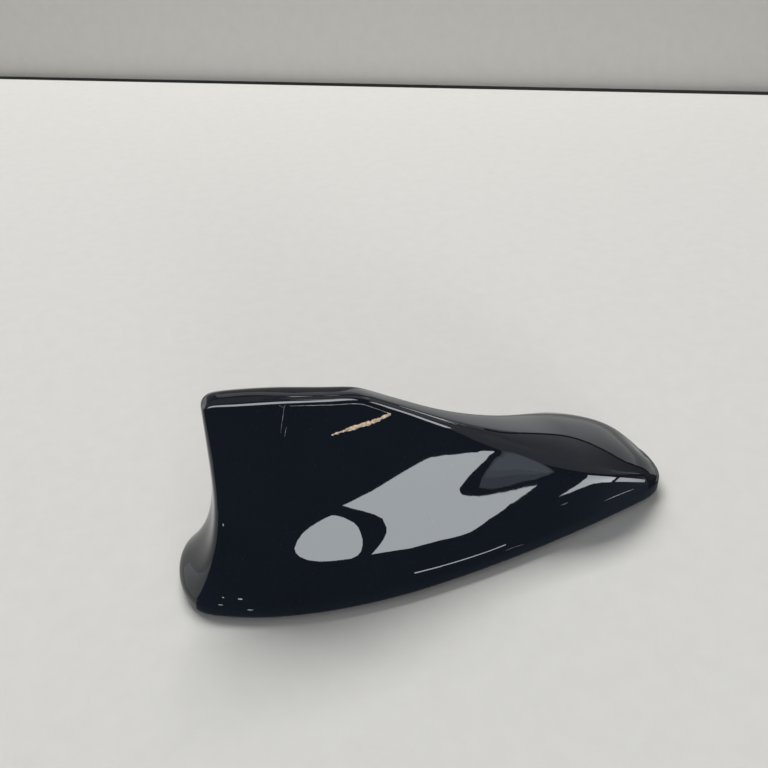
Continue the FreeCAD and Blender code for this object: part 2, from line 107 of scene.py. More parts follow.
def cubic_basis(count, t):
    """Clamped uniform cubic spline weights, one row per pole."""
    knots = np.concatenate([np.zeros(3), np.linspace(0, 1, count - 2), np.ones(3)])
    t = np.clip(np.asarray(t, float), 0, 1 - 1e-12)
    weights = [((t >= knots[i]) & (t < knots[i + 1])).astype(float) for i in range(len(knots) - 1)]
    for degree in (1, 2, 3):
        raised = []
        for i in range(len(weights) - 1):
            low, high = knots[i + degree] - knots[i], knots[i + degree + 1] - knots[i + 1]
            value = np.zeros_like(t)
            if low > 0:
                value = value + (t - knots[i]) / low * weights[i]
            if high > 0:
                value = value + (knots[i + degree + 1] - t) / high * weights[i + 1]
            raised.append(value)
        weights = raised
    return np.array(weights)


OUTER = skin_poles(0.0, RIM_LIFT)
INNER = skin_poles(WALL, RIM_LIFT)
NUDGE = 1e-4


def skin(poles, u, v):
    """Grid of surface points, millimetres, for all u against all v."""
    return np.einsum("iu,jv,ijc->uvc", cubic_basis(len(poles), u), cubic_basis(poles.shape[1], v), poles)


def skin_points(u, v):
    """Points on the painted skin, millimetres, for pairs of u and v."""
    along, up = cubic_basis(len(OUTER), u), cubic_basis(OUTER.shape[1], v)
    return np.einsum("in,jn,ijc->nc", along, up, OUTER)


def skin_at(u, v):
    """Points and outward normals on the painted skin along a path of u, v pairs."""
    along = skin_points(np.clip(u + NUDGE, 0, 1), v) - skin_points(np.clip(u - NUDGE, 0, 1), v)
    up = skin_points(u, np.clip(v + NUDGE, 0, 1)) - skin_points(u, np.clip(v - NUDGE, 0, 1))
    normal = np.cross(along, up)
    normal /= np.linalg.norm(normal, axis=1)[:, None]
    if normal[:, 1].mean() > 0:
        normal = -normal
    return skin_points(u, v), normal


def node(tree, kind, **inputs):
    made = tree.nodes.new(kind)
    for key, value in inputs.items():
        if key in made.inputs:
            made.inputs[key].default_value = value
        else:
            setattr(made, key, value)
    return made


def material(name, dark, light, rough, metal=0.0, scale=400.0, bump=0.05, detail=4.0, spread=(0.35, 0.65),
             stretch=(1, 1, 1), coat=0.0, grain=0.00005):
    """Procedural finish: two tones mixed by noise at a real scale, varied roughness and a fine bump."""
    made = bpy.data.materials.new(name)
    made.use_nodes = True
    tree = made.node_tree
    shader = tree.nodes["Principled BSDF"]
    shader.inputs["Metallic"].default_value = metal
    shader.inputs["Coat Weight"].default_value = coat
    where = node(tree, "ShaderNodeTexCoord")
    mapping = node(tree, "ShaderNodeMapping")
    mapping.inputs["Scale"].default_value = stretch
    tree.links.new(where.outputs["Object"], mapping.inputs["Vector"])
    noise = node(tree, "ShaderNodeTexNoise", Scale=scale, Detail=detail, Roughness=0.6)
    tree.links.new(mapping.outputs["Vector"], noise.inputs["Vector"])
    ramp = node(tree, "ShaderNodeValToRGB")
    ramp.color_ramp.elements[0].position = spread[0]
    ramp.color_ramp.elements[1].position = spread[1]
    ramp.color_ramp.elements[0].color = (*dark, 1)
    ramp.color_ramp.elements[1].color = (*light, 1)
    tree.links.new(noise.outputs["Fac"], ramp.inputs["Fac"])
    tree.links.new(ramp.outputs["Color"], shader.inputs["Base Color"])
    range_ = node(tree, "ShaderNodeMapRange")
    range_.inputs["To Min"].default_value = max(0.03, rough - 0.08)
    range_.inputs["To Max"].default_value = min(1.0, rough + 0.08)
    tree.links.new(noise.outputs["Fac"], range_.inputs["Value"])
    tree.links.new(range_.outputs["Result"], shader.inputs["Roughness"])
    if bump:
        bumped = node(tree, "ShaderNodeBump", Strength=bump, Distance=grain)
        tree.links.new(noise.outputs["Fac"], bumped.inputs["Height"])
        tree.links.new(bumped.outputs["Normal"], shader.inputs["Normal"])
    return made


def paint():
    """Blue-black metallic paint under a clear coat, with fine flake and a trace of orange peel."""
    made = bpy.data.materials.new("clear_coated_paint")
    made.use_nodes = True
    tree = made.node_tree
    shader = tree.nodes["Principled BSDF"]
    shader.inputs["Specular IOR Level"].default_value = 0.0
    shader.inputs["Coat Weight"].default_value = 1.0
    shader.inputs["Coat Roughness"].default_value = 0.025
    shader.inputs["Coat IOR"].default_value = 1.5
    where = node(tree, "ShaderNodeTexCoord")
    flake = node(tree, "ShaderNodeTexVoronoi", Scale=5200.0)
    tree.links.new(where.outputs["Object"], flake.inputs["Vector"])
    cloud = node(tree, "ShaderNodeTexNoise", Scale=60.0, Detail=3.0)
    tree.links.new(where.outputs["Object"], cloud.inputs["Vector"])
    tone = node(tree, "ShaderNodeValToRGB")
    tone.color_ramp.elements[0].color = (0.0028, 0.0042, 0.0085, 1)
    tone.color_ramp.elements[1].color = (0.0050, 0.0078, 0.0155, 1)
    tree.links.new(cloud.outputs["Fac"], tone.inputs["Fac"])
    glint = node(tree, "ShaderNodeValToRGB")
    glint.color_ramp.elements[0].position = 0.90
    glint.color_ramp.elements[1].position = 0.98
    glint.color_ramp.elements[0].color = (0, 0, 0, 1)
    glint.color_ramp.elements[1].color = (0.020, 0.027, 0.045, 1)
    tree.links.new(flake.outputs["Color"], glint.inputs["Fac"])
    add = node(tree, "ShaderNodeMix", data_type="RGBA", blend_type="ADD")
    add.inputs[0].default_value = 1.0
    tree.links.new(tone.outputs["Color"], add.inputs[6])
    tree.links.new(glint.outputs["Color"], add.inputs[7])
    tree.links.new(add.outputs[2], shader.inputs["Base Color"])
    rough = node(tree, "ShaderNodeMapRange")
    rough.inputs["To Min"].default_value = 0.32
    rough.inputs["To Max"].default_value = 0.46
    tree.links.new(cloud.outputs["Fac"], rough.inputs["Value"])
    tree.links.new(rough.outputs["Result"], shader.inputs["Roughness"])
    peel = node(tree, "ShaderNodeTexNoise", Scale=420.0, Detail=1.0)
    tree.links.new(where.outputs["Object"], peel.inputs["Vector"])
    bumped = node(tree, "ShaderNodeBump", Strength=0.10, Distance=0.00002)
    tree.links.new(peel.outputs["Fac"], bumped.inputs["Height"])
    tree.links.new(bumped.outputs["Normal"], shader.inputs["Coat Normal"])
    return made


# Camera at the photograph's place: heading, pitch and roll in degrees, place in metres
PICTURE_MIDDLE = 384.0
HALF_VIEW = math.radians(25.0)
FOCUS = PICTURE_MIDDLE / math.tan(HALF_VIEW)
SENSOR = 36.0
heading, pitch, roll = math.radians(14.4), math.radians(35.98), math.radians(3.0)
right = Vector((math.cos(heading), -math.sin(heading), 0))
level = Vector((math.sin(heading), math.cos(heading), 0))
ahead = level * math.cos(pitch) - Vector((0, 0, math.sin(pitch)))
up = right.cross(ahead)
side = right * math.cos(roll) - up * math.sin(roll)
top = right * math.sin(roll) + up * math.cos(roll)
camera = bpy.data.objects.new("camera", bpy.data.cameras.new("camera"))
camera.data.sensor_width = SENSOR
camera.data.lens = SENSOR / 2 / math.tan(HALF_VIEW)
camera.data.clip_start = 0.01
eye = Vector((-0.05917, -0.18112, 0.19595))
camera.matrix_world = Matrix(((side.x, top.x, -ahead.x, eye.x), (side.y, top.y, -ahead.y, eye.y),
                              (side.z, top.z, -ahead.z, eye.z), (0, 0, 0, 1)))
scene.collection.objects.link(camera)
scene.camera = camera


def on_floor(x, y):
    """Where the line of sight through a picture point meets the floor."""
    ray = side * ((x - PICTURE_MIDDLE) / FOCUS) + top * ((PICTURE_MIDDLE - y) / FOCUS) + ahead
    return eye + ray * (-eye.z / ray.z)


def picture(points):
    """Picture coordinates of points given in millimetres."""
    sight = points * MM - np.array(eye)
    depth = sight @ np.array(ahead)
    across, down = sight @ np.array(side) / depth, -(sight @ np.array(top)) / depth
    return PICTURE_MIDDLE + FOCUS * np.stack([across, down], -1)


# Samples of the right-hand skin, from which the search for a picture point starts
SEARCH_U, SEARCH_V = np.linspace(0, 1, 541), np.linspace(0, 1, 361)
SEARCH_POINTS = skin(OUTER, SEARCH_U, SEARCH_V)
SEARCH_SPOTS = picture(SEARCH_POINTS)
SAME_SPOT = 1.0
HIDDEN = 1e6
NEWTON_STEPS, LONGEST_STEP = 12, 0.004


def hidden_samples():
    """Large where a sample's outer side is turned away from the camera, 0 elsewhere."""
    normals = np.cross(np.gradient(SEARCH_POINTS, axis=0), np.gradient(SEARCH_POINTS, axis=1))
    flank = normals[len(SEARCH_U) // 2, len(SEARCH_V) // 3]
    turned = (normals * (SEARCH_POINTS - np.array(eye) / MM)).sum(2) * np.sign(flank[1]) <= 0
    return np.where(turned, HIDDEN, 0.0)


SEARCH_HIDDEN = hidden_samples()
SEARCH_RANGE = np.linalg.norm(SEARCH_POINTS - np.array(eye) / MM, axis=2)


def skin_under(spots):
    """u and v on the right-hand skin under picture points: the nearest sample, then Newton steps."""
    spots = np.array(spots, float)
    found = []
    for spot in spots:
        miss = np.linalg.norm(SEARCH_SPOTS - spot, axis=2) + SEARCH_HIDDEN
        near = miss < miss.min() + SAME_SPOT
        found.append(np.unravel_index(np.where(near, SEARCH_RANGE, HIDDEN).argmin(), near.shape))
    found = np.array(found)
    u, v = SEARCH_U[found[:, 0]], SEARCH_V[found[:, 1]]
    for _ in range(NEWTON_STEPS):
        here = picture(skin_points(u, v))
        by_u = (picture(skin_points(u + NUDGE, v)) - here) / NUDGE
        by_v = (picture(skin_points(u, v + NUDGE)) - here) / NUDGE
        miss = spots - here
        area = by_u[:, 0] * by_v[:, 1] - by_u[:, 1] * by_v[:, 0]
        step_u = (miss[:, 0] * by_v[:, 1] - miss[:, 1] * by_v[:, 0]) / area
        step_v = (by_u[:, 0] * miss[:, 1] - by_u[:, 1] * miss[:, 0]) / area
        u = np.clip(u + np.clip(step_u, -LONGEST_STEP, LONGEST_STEP), 0, 1)
        v = np.clip(v + np.clip(step_v, -LONGEST_STEP, LONGEST_STEP), 0, 1)
    return u, v


def mirrored(spots):
    """Points of the skin under picture points, and the ways that sight lines take from there."""
    points, normals = skin_at(*skin_under(spots))
    sight = points - np.array(eye) / MM
    sight /= np.linalg.norm(sight, axis=1)[:, None]
    return points, sight - 2 * (sight * normals).sum(1)[:, None] * normals


# Marks on the right-hand side, as paths of picture points, with their width in millimetres
GOUGE = [(332.3, 435.0), (340.6, 432.1), (349.8, 429.1), (359.4, 426.0), (369.5, 423.2), (378.8, 419.8),
         (387.4, 415.7), (389.9, 414.5), (387.0, 412.5)]
GOUGE_WIDTH = [0.45, 0.9, 1.0, 1.05, 1.15, 1.0, 0.9, 0.7, 0.25]
GOUGE_DEPTH, GOUGE_SLOPE = 0.22, 0.25
GOUGE_SAMPLES, GOUGE_RAGGED, RAGGED_RUN = 160, 0.66, 6
GOUGE_REACH, GOUGE_LOW, GOUGE_HIGH = 16.0, 46.0, 58.0
OUTSIDE = -9.0
FORK = (284.1, 407.4)
SCRATCHES = {
    "hairline": ([(289.8, 406.0), (309.8, 405.4), (334.2, 404.8), (361.3, 404.1), (373.9, 407.9), GOUGE[-1]],
                 0.20, "plain"),
    "squiggle_long": ([FORK, (283.4, 413.6), (282.6, 418.7), (281.3, 426.8), (280.7, 433.1)], 0.16, "faint"),
    "squiggle_short": ([(278.7, 405.2), FORK], 0.13, "faint"),
    "squiggle_arm": ([(285.4, 404.9), FORK], 0.11, "faint"),
    "squiggle_tail": ([(286.4, 427.0), (285.4, 431.6), (284.7, 437.0)], 0.16, "faint"),
    # The pale line along the nose's lower side is a thin pale sliver set into the paint
    "nose_pale_line": ([(605.1, 500.5), (614.6, 496.5), (623.8, 492.7), (633.5, 489.2)], 0.20, "bright"),
    "flank_scratch": ([(560.9, 505.3), (563.9, 504.3), (567.6, 502.8)], 0.14, "plain"),
    "rim_scratch": ([(504.3, 551.1), (514.2, 547.1), (524.2, 544.1)], 0.10, "plain"),
}
# Chips as picture point, length and width
CHIPS = [((223.1, 597.5), 0.55, 0.30), ((240.2, 599.0), 1.30, 0.40), ((220.3, 604.8), 1.40, 0.22),
         ((250.3, 609.9), 1.70, 0.24), ((223.2, 524.8), 0.30, 1.00)]


def smooth_path(spots, count):
    """Even samples along a path of picture points."""
    u, v = skin_under(spots)
    lengths = np.linalg.norm(np.diff(skin_points(u, v), axis=0), axis=1)
    run = np.concatenate([[0], np.cumsum(lengths)])
    t = np.linspace(0, run[-1], count)
    return np.interp(t, run, u), np.interp(t, run, v), t, run


def gouge_mask(points):
    """How far inside the gouge each skin point lies: over 0 is bare plastic."""
    u, v, t, run = smooth_path(GOUGE, GOUGE_SAMPLES)
    spine, _ = skin_at(u, v)
    width = np.interp(t, run, GOUGE_WIDTH) / 2
    rough = np.random.default_rng(7).normal(size=GOUGE_SAMPLES + 10)
    rough = np.convolve(rough, np.ones(RAGGED_RUN) / RAGGED_RUN, "same")[:GOUGE_SAMPLES]
    width = width * (1 + GOUGE_RAGGED * rough)
    flat = points.reshape(-1, 3)
    depth = np.full(len(flat), OUTSIDE)
    near = (np.abs(flat[:, 0] - spine[:, 0].mean()) < GOUGE_REACH) & (flat[:, 1] < 0)
    near &= (flat[:, 2] > GOUGE_LOW) & (flat[:, 2] < GOUGE_HIGH)
    gap = np.linalg.norm(flat[near][:, None] - spine[None], axis=2)
    depth[near] = (width[None] - gap).max(1)
    return depth.reshape(points.shape[:-1])


def samples(plain, fine_low, fine_high, fine):
    even = np.linspace(0, 1, plain)
    keep = even[(even < fine_low) | (even > fine_high)]
    return np.unique(np.concatenate([keep, np.linspace(fine_low, fine_high, fine)]))


# Rows of the cover's mesh: even ones, and finer ones across the gouge
EVEN_U, FINE_U, FINE_U_ROWS = 150, (0.505, 0.680), 130
EVEN_V, FINE_V, FINE_V_ROWS = 100, (0.522, 0.650), 58
FAR_ROWS, INSIDE_ROWS = 90, 22
WELD, SLIVER = 2e-6, 1e-7
# Screw bosses inside the cover
BOSSES = ((64.0, 0.0), (20.0, 15.2), (20.0, -15.2), (-52.0, 15.4), (-52.0, -15.4))
BOSS_RADIUS, BOSS_BORE = 3.0, 1.25
SIDE_BOSS_TOP, NOSE_BOSS_TOP = 10.4, 14.0


def build_cover():
    """Closed painted shell: skin, gouge, rim and inside, with the five screw bosses."""
    u = samples(EVEN_U, *FINE_U, FINE_U_ROWS)
    v_near = samples(EVEN_V, *FINE_V, FINE_V_ROWS)
    v_far = np.linspace(0, 1, FAR_ROWS)
    v_in = np.linspace(0, 1, INSIDE_ROWS)
    near = skin(OUTER, u, v_near)
    mask = gouge_mask(near)
    du, dv = np.gradient(near, axis=0), np.gradient(near, axis=1)
    normal = np.cross(du, dv)
    normal /= np.linalg.norm(normal, axis=2, keepdims=True) + 1e-12
    if normal[len(u) // 2, len(v_near) // 3, 1] > 0:
        normal = -normal
    rng = np.random.default_rng(3)
    sink = np.clip(mask / GOUGE_SLOPE, 0, 1) * GOUGE_DEPTH * rng.uniform(0.55, 1.0, mask.shape)
    near = near - normal * sink[..., None]
    flip = np.array([1, -1, 1])
    far = skin(OUTER, u, v_far) * flip
    inside = skin(INNER, u, v_in)
    verts, faces, bare = [], [], []

    def grid(points, turn):
        start = sum(len(part) for part in verts)
        rows, columns = points.shape[:2]
        verts.append(points.reshape(-1, 3))
        index = start + np.arange(rows * columns).reshape(rows, columns)
        quads = np.stack([index[:-1, :-1], index[1:, :-1], index[1:, 1:], index[:-1, 1:]], -1).reshape(-1, 4)
        faces.append(quads[:, ::-1] if turn else quads)
        return index

    i_near = grid(near, False)
    corner = (mask[:-1, :-1] + mask[1:, :-1] + mask[1:, 1:] + mask[:-1, 1:]) / 4
    bare.append((corner > 0).reshape(-1))
    i_far = grid(far, True)
    i_in = grid(inside, True)
    i_in_far = grid(inside * flip, False)
    for outer, inner, turn in ((i_near, i_in, True), (i_far, i_in_far, False)):
        strip = np.stack([outer[:-1, 0], outer[1:, 0], inner[1:, 0], inner[:-1, 0]], -1)
        faces.append(strip[:, ::-1] if not turn else strip)
    for part in faces[1:]:
        bare.append(np.zeros(len(part), bool))
    mesh = bpy.data.meshes.new("painted_cover")
    mesh.from_pydata((np.concatenate(verts) * MM).tolist(), [], np.concatenate(faces).tolist())
    mesh.polygons.foreach_set("material_index", np.concatenate(bare).astype(np.int32))
    work = bmesh.new()
    work.from_mesh(mesh)
    bmesh.ops.remove_doubles(work, verts=work.verts, dist=WELD)
    bmesh.ops.dissolve_degenerate(work, edges=work.edges, dist=SLIVER)
    bmesh.ops.recalc_face_normals(work, faces=work.faces)
    for x, y in BOSSES:
        tube(work, x, y, BASE_TOP, SIDE_BOSS_TOP if y else NOSE_BOSS_TOP, BOSS_RADIUS, BOSS_BORE)
    for face in work.faces:
        face.smooth = True
    work.to_mesh(mesh)
    work.free()
    cover = bpy.data.objects.new("painted_cover", mesh)
    scene.collection.objects.link(cover)
    return cover


def tube(work, x, y, low, high, outer, inner, count=24):
    """Screw boss: a blunt hollow post that joins the inside of the skin."""
    rings = []
    for radius, z in ((outer, low), (outer, high), (inner, high), (inner, low)):
        ring = []
        for k in range(count):
            a = 2 * math.pi * k / count
            corner = Vector((x + radius * math.cos(a), y + radius * math.sin(a), z))
            ring.append(work.verts.new(corner * MM))
        rings.append(ring)
    for a, b in zip(rings, rings[1:] + rings[:1]):
        for k in range(count):
            work.faces.new((a[k], a[(k + 1) % count], b[(k + 1) % count], b[k]))


def place(name, verts, faces, finish):
    mesh = bpy.data.meshes.new(name)
    mesh.from_pydata([tuple(p) for p in verts], [], faces)
    work = bmesh.new()
    work.from_mesh(mesh)
    bmesh.ops.recalc_face_normals(work, faces=work.faces)
    work.to_mesh(mesh)
    work.free()
    mesh.materials.append(finish)
    made = bpy.data.objects.new(name, mesh)
    scene.collection.objects.link(made)
    return made


# Marks lie a little proud of the paint and reach into it, in millimetres
SCRATCH_TOP, SCRATCH_BOTTOM, SCRATCH_SAMPLES = 0.012, -0.12, 40
TAPER_START = 0.12
CHIP_TOP, CHIP_BOTTOM, CHIP_CORNERS = 0.03, -0.15, 14
CHIP_AHEAD = 0.004


def scratch(name, path, width, finish, seed):
    """Closed sliver that lies in the paint along a path, tapering to both ends."""
    count = SCRATCH_SAMPLES
    u, v, _, _ = smooth_path(path, count)
    points, normals = skin_at(u, v)
    tangent = np.gradient(points, axis=0)
    tangent /= np.linalg.norm(tangent, axis=1)[:, None]
    across = np.cross(normals, tangent)
    rng = np.random.default_rng(seed)
    taper = np.sin(np.linspace(TAPER_START, math.pi - TAPER_START, count)) ** 0.5
    half = width / 2 * taper * rng.uniform(0.55, 1.15, count)
    verts = []
    corners = ((1, SCRATCH_TOP), (-1, SCRATCH_TOP), (-1, SCRATCH_BOTTOM), (1, SCRATCH_BOTTOM))
    for side, lift in corners:
        verts.append(points + across * (half * side)[:, None] + normals * lift)
    verts = np.stack(verts, 1).reshape(-1, 3) * MM
    faces = []
    for k in range(count - 1):
        for j in range(4):
            a, b = 4 * k + j, 4 * k + (j + 1) % 4
            faces.append((a, b, b + 4, a + 4))
    faces += [(3, 2, 1, 0), tuple(4 * (count - 1) + j for j in range(4))]
    return place(name, verts, faces, finish)


def chip(name, spot, long, short, finish, seed):
    """Small ragged flake mark, sunk in the paint."""
    u, v = skin_under([spot])
    centre, normal = skin_at(u, v)
    ahead, _ = skin_at(u + CHIP_AHEAD, v)
    along = ahead[0] - centre[0]
    along /= np.linalg.norm(along)
    across = np.cross(normal[0], along)
    count = CHIP_CORNERS
    rims = []
    for lift in (CHIP_TOP, CHIP_BOTTOM):
        for k in range(count):
            a = 2 * math.pi * k / count
            wobble = 0.75 + 0.5 * np.random.default_rng(seed * 100 + k).random()
            rims.append(centre[0] + along * (long / 2 * math.cos(a) * wobble)
                        + across * (short / 2 * math.sin(a) * wobble) + normal[0] * lift)
    faces = [tuple(range(count)), tuple(range(2 * count - 1, count - 1, -1))]
    for k in range(count):
        j = (k + 1) % count
        faces.append((k, j, count + j, count + k))
    return place(name, np.array(rims) * MM, faces, finish)


cover = build_cover()
bare_plastic = material("bare_plastic", (0.36, 0.19, 0.085), (0.90, 0.74, 0.55), 0.75, scale=1900.0, bump=0.6,
                        grain=0.0002)
cover.data.materials.append(paint())
cover.data.materials.append(bare_plastic)
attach(cover, "root")
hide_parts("cover")

MARK_FINISH = {
    "plain": material("pale_scratch", (0.13, 0.13, 0.13), (0.42, 0.42, 0.42), 0.5, scale=900.0, bump=0.2),
    "faint": material("faint_scratch", (0.03, 0.03, 0.03), (0.16, 0.16, 0.16), 0.5, scale=900.0, bump=0.2),
    "bright": material("chipped_paint", (0.42, 0.42, 0.42), (0.8, 0.8, 0.8), 0.5, scale=900.0, bump=0.2),
}
for order, (name, (path, width, tone)) in enumerate(SCRATCHES.items()):
    mark = scratch(name, path, width, MARK_FINISH[tone], 20 + order)
    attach(mark, "root")
for order, (spot, long, short) in enumerate(CHIPS):
    mark = chip(f"chip_{order + 1}", spot, long, short, MARK_FINISH["bright"], 50 + order)
    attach(mark, "root")

FINISH = {
    "cast_base": material("cast_alloy", (0.40, 0.41, 0.42), (0.62, 0.63, 0.64), 0.5, 0.9, 700.0, 0.25),
    "gasket_rubber": material(
        "gasket_rubber", (0.014, 0.014, 0.014), (0.035, 0.035, 0.036), 0.75, 0.0, 900.0, 0.3),
    "seal_rubber": material("seal_rubber", (0.02, 0.02, 0.02), (0.05, 0.05, 0.05), 0.7, 0.0, 800.0, 0.25),
    "board": material(
        "solder_mask", (0.010, 0.085, 0.034), (0.022, 0.150, 0.062), 0.4, 0.0, 350.0, 0.1, coat=0.3),
    "insert_steel": material("plated_insert", (0.42, 0.42, 0.43), (0.62, 0.62, 0.63), 0.35, 1.0, 500.0, 0.1),
    "can_tin": material("tinned_can", (0.58, 0.58, 0.57), (0.76, 0.76, 0.75), 0.3, 1.0, 300.0, 0.1),
    "blade_tin": material("tinned_blade", (0.58, 0.57, 0.54), (0.76, 0.75, 0.72), 0.3, 1.0, 320.0, 0.1),
    "spring_bronze": material("spring_bronze", (0.42, 0.26, 0.10), (0.66, 0.46, 0.22), 0.35, 1.0, 500.0, 0.1),
    "ceramic": material("fired_ceramic", (0.56, 0.50, 0.40), (0.74, 0.68, 0.57), 0.6, 0.0, 800.0, 0.2),
    "adhesive_pad": material("foam_tape", (0.62, 0.62, 0.59), (0.86, 0.86, 0.83), 0.9, 0.0, 1400.0, 0.5),
    "contact_brass": material(
        "contact_brass", (0.56, 0.40, 0.13), (0.80, 0.63, 0.28), 0.28, 1.0, 600.0, 0.08),
    "bobbin_plastic": material(
        "bobbin_plastic", (0.03, 0.03, 0.033), (0.07, 0.07, 0.08), 0.5, 0.0, 600.0, 0.15),
    "copper_wire": material(
        "enamelled_wire", (0.40, 0.14, 0.045), (0.64, 0.29, 0.12), 0.25, 0.9, 500.0, 0.05),
    "carrier_plastic": material(
        "carrier_plastic", (0.035, 0.035, 0.04), (0.085, 0.085, 0.09), 0.55, 0.0, 500.0, 0.15),
    "hat_steel": material("tinned_hat", (0.52, 0.52, 0.50), (0.72, 0.72, 0.70), 0.32, 1.0, 320.0, 0.1),
    "screw_steel": material("zinc_screw", (0.30, 0.30, 0.31), (0.50, 0.50, 0.52), 0.38, 1.0, 700.0, 0.15),
    "radio_plastic": material(
        "black_socket", (0.02, 0.02, 0.022), (0.045, 0.045, 0.05), 0.45, 0.0, 700.0, 0.15),
    "data_plastic": material("blue_socket", (0.03, 0.09, 0.24), (0.06, 0.16, 0.38), 0.45, 0.0, 700.0, 0.15),
    "insulator_plastic": material(
        "white_insulator", (0.70, 0.70, 0.68), (0.88, 0.88, 0.86), 0.5, 0.0, 700.0, 0.1),
}
for subpart in frame["record"]["subparts"]:
    if subpart["material_slot"] in FINISH:
        piece = frame["nodes"][subpart["node"]]
        piece.data.materials.clear()
        piece.data.materials.append(FINISH[subpart["material_slot"]])

# Stage: pale floor, grey wall behind it, a narrow dark gap between them; the gap's darkness is painted shade,
# a near-black sheet just below the floor
floor_finish = material("floor_laminate", (0.705, 0.702, 0.682), (0.725, 0.722, 0.702), 0.55, scale=140.0,
                        bump=0.0, detail=6.0)
wall_finish = material("wall_paint", (0.68, 0.665, 0.63), (0.70, 0.685, 0.65), 0.7, scale=120.0, bump=0.0)
for matt in (floor_finish, wall_finish):
    matt.node_tree.nodes["Principled BSDF"].inputs["Specular IOR Level"].default_value = 0.0
gap_painted_shade = material("gap_shade", (0.004, 0.004, 0.004), (0.008, 0.008, 0.008), 0.9, scale=200.0, bump=0.0)
FLOOR_END_LEFT, FLOOR_END_RIGHT = (0.0, 79.0), (768.0, 95.0)
left_edge, right_edge = on_floor(*FLOOR_END_LEFT), on_floor(*FLOOR_END_RIGHT)
line = (right_edge - left_edge).normalized()
outward = Vector((-line.y, line.x, 0))
middle = (left_edge + right_edge) / 2
reach = 3.0


def sheet(name, corners, finish):
    made = place(name, corners, [tuple(range(len(corners)))], finish)
    return made


back_left, back_right = middle - line * reach, middle + line * reach
forward = outward * 2 * reach
under, deeper = Vector((0, 0, -0.0001)), Vector((0, 0, -0.0005))
GAP_WIDTH, WALL_SETBACK, WALL_TOP = 0.02, 0.008, 2.0
sheet("floor", [back_left + under, back_left - forward + under, back_right - forward + under,
                back_right + under], floor_finish)
# Near-black sheet in the gap: painted shade where the crevice lies in shadow
gap_left, gap_right = back_left + deeper, back_right + deeper
gap = sheet("gap", [gap_left, gap_right, gap_right + outward * GAP_WIDTH, gap_left + outward * GAP_WIDTH],
            gap_painted_shade)
wall_left, wall_right = back_left + outward * WALL_SETBACK, back_right + outward * WALL_SETBACK
rise = Vector((0, 0, WALL_TOP))
wall = sheet("wall", [wall_left, wall_right, wall_right + rise, wall_left + rise], wall_finish)
gap.visible_shadow = False
wall.visible_shadow = False


def lamp(name, spot, aim, size, power, tint=(1, 1, 1), spread=180.0):
    data = bpy.data.lights.new(name, "AREA")
    data.shape = "RECTANGLE"
    data.size, data.size_y = size
    data.energy = power
    data.color = tint
    data.spread = math.radians(spread)
    made = bpy.data.objects.new(name, data)
    made.location = spot
    made.rotation_mode = "QUATERNION"
    made.rotation_quaternion = (Vector(aim) - Vector(spot)).to_track_quat("-Z", "Y")
    made.visible_camera = False
    made.visible_glossy = False
    scene.collection.objects.link(made)
    return made


lamp("back_light", (-0.15, 1.30, 2.45), (0.0, -1.70, 0.0), (2.2, 1.10), 68.0, (1.0, 0.99, 0.97))
lamp("front_fill", (0.0, -1.60, 0.30), (0.05, 0.0, 0.04), (0.8, 0.2), 0.55, (1.0, 0.99, 0.97), 40.0)

# Room: dim on matt surfaces, somewhat lighter in gloss, pale where the camera sees it
world = bpy.data.worlds.new("room")
world.use_nodes = True
tree = world.node_tree
background = tree.nodes["Background"]
background.inputs["Color"].default_value = (0.93, 0.96, 1.0, 1)
seen = node(tree, "ShaderNodeLightPath")
strength = None
ROOM_MATT, ROOM_GLOSS, ROOM_SEEN = 0.24, 0.21, 0.51
for output, factor in (("Is Glossy Ray", ROOM_GLOSS), ("Is Camera Ray", ROOM_SEEN)):
    step = node(tree, "ShaderNodeMath", operation="MULTIPLY_ADD")
    tree.links.new(seen.outputs[output], step.inputs[0])
    step.inputs[1].default_value = factor
    step.inputs[2].default_value = ROOM_MATT
    if strength:
        tree.links.new(strength, step.inputs[2])
    strength = step.outputs[0]
tree.links.new(strength, background.inputs["Strength"])
scene.world = world

# Reflector cards, seen only by gloss. Outlines that the photograph shows are picture points, and the card
# lies where the skin mirrors them to. Other outlines are in millimetres.
BESIDE = 31.0
RIBBON_LIFT = 3.0
WHITE, COOL, WARM = (1.0, 1.0, 1.0), (0.90, 0.96, 1.0), (1.0, 1.0, 0.98)
ALONG_PART = (1, 0, 0)


def glow(name, strength, tint, fade=None):
    """Even light, or one that fades to another strength: (direction, start, end, last strength)."""
    made = bpy.data.materials.new(name)
    made.use_nodes = True
    tree = made.node_tree
    tree.nodes.clear()
    out = node(tree, "ShaderNodeOutputMaterial")
    light = node(tree, "ShaderNodeEmission")
    light.inputs["Color"].default_value = (*tint, 1)
    light.inputs["Strength"].default_value = strength
    if fade:
        where = node(tree, "ShaderNodeTexCoord")
        along = node(tree, "ShaderNodeVectorMath", operation="DOT_PRODUCT")
        tree.links.new(where.outputs["Object"], along.inputs[0])
        along.inputs[1].default_value = fade[0]
        ramp = node(tree, "ShaderNodeMapRange")
        ramp.inputs["From Min"].default_value, ramp.inputs["From Max"].default_value = fade[1], fade[2]
        ramp.inputs["To Min"].default_value, ramp.inputs["To Max"].default_value = strength, fade[3]
        tree.links.new(along.outputs["Value"], ramp.inputs["Value"])
        tree.links.new(ramp.outputs["Result"], light.inputs["Strength"])
    tree.links.new(light.outputs["Emission"], out.inputs["Surface"])
    return made


def only_gloss(made):
    made.visible_camera = False
    made.visible_diffuse = False
    made.visible_shadow = False
    made.visible_transmission = False


def card(name, finish, corners):
    made = sheet(name, [Vector(corner) * MM for corner in corners], finish)
    only_gloss(made)


def over_skin(spots):
    """Points a little way along the sight lines that the skin mirrors at picture points."""
    points, ways = mirrored(spots)
    return points + ways * RIBBON_LIFT


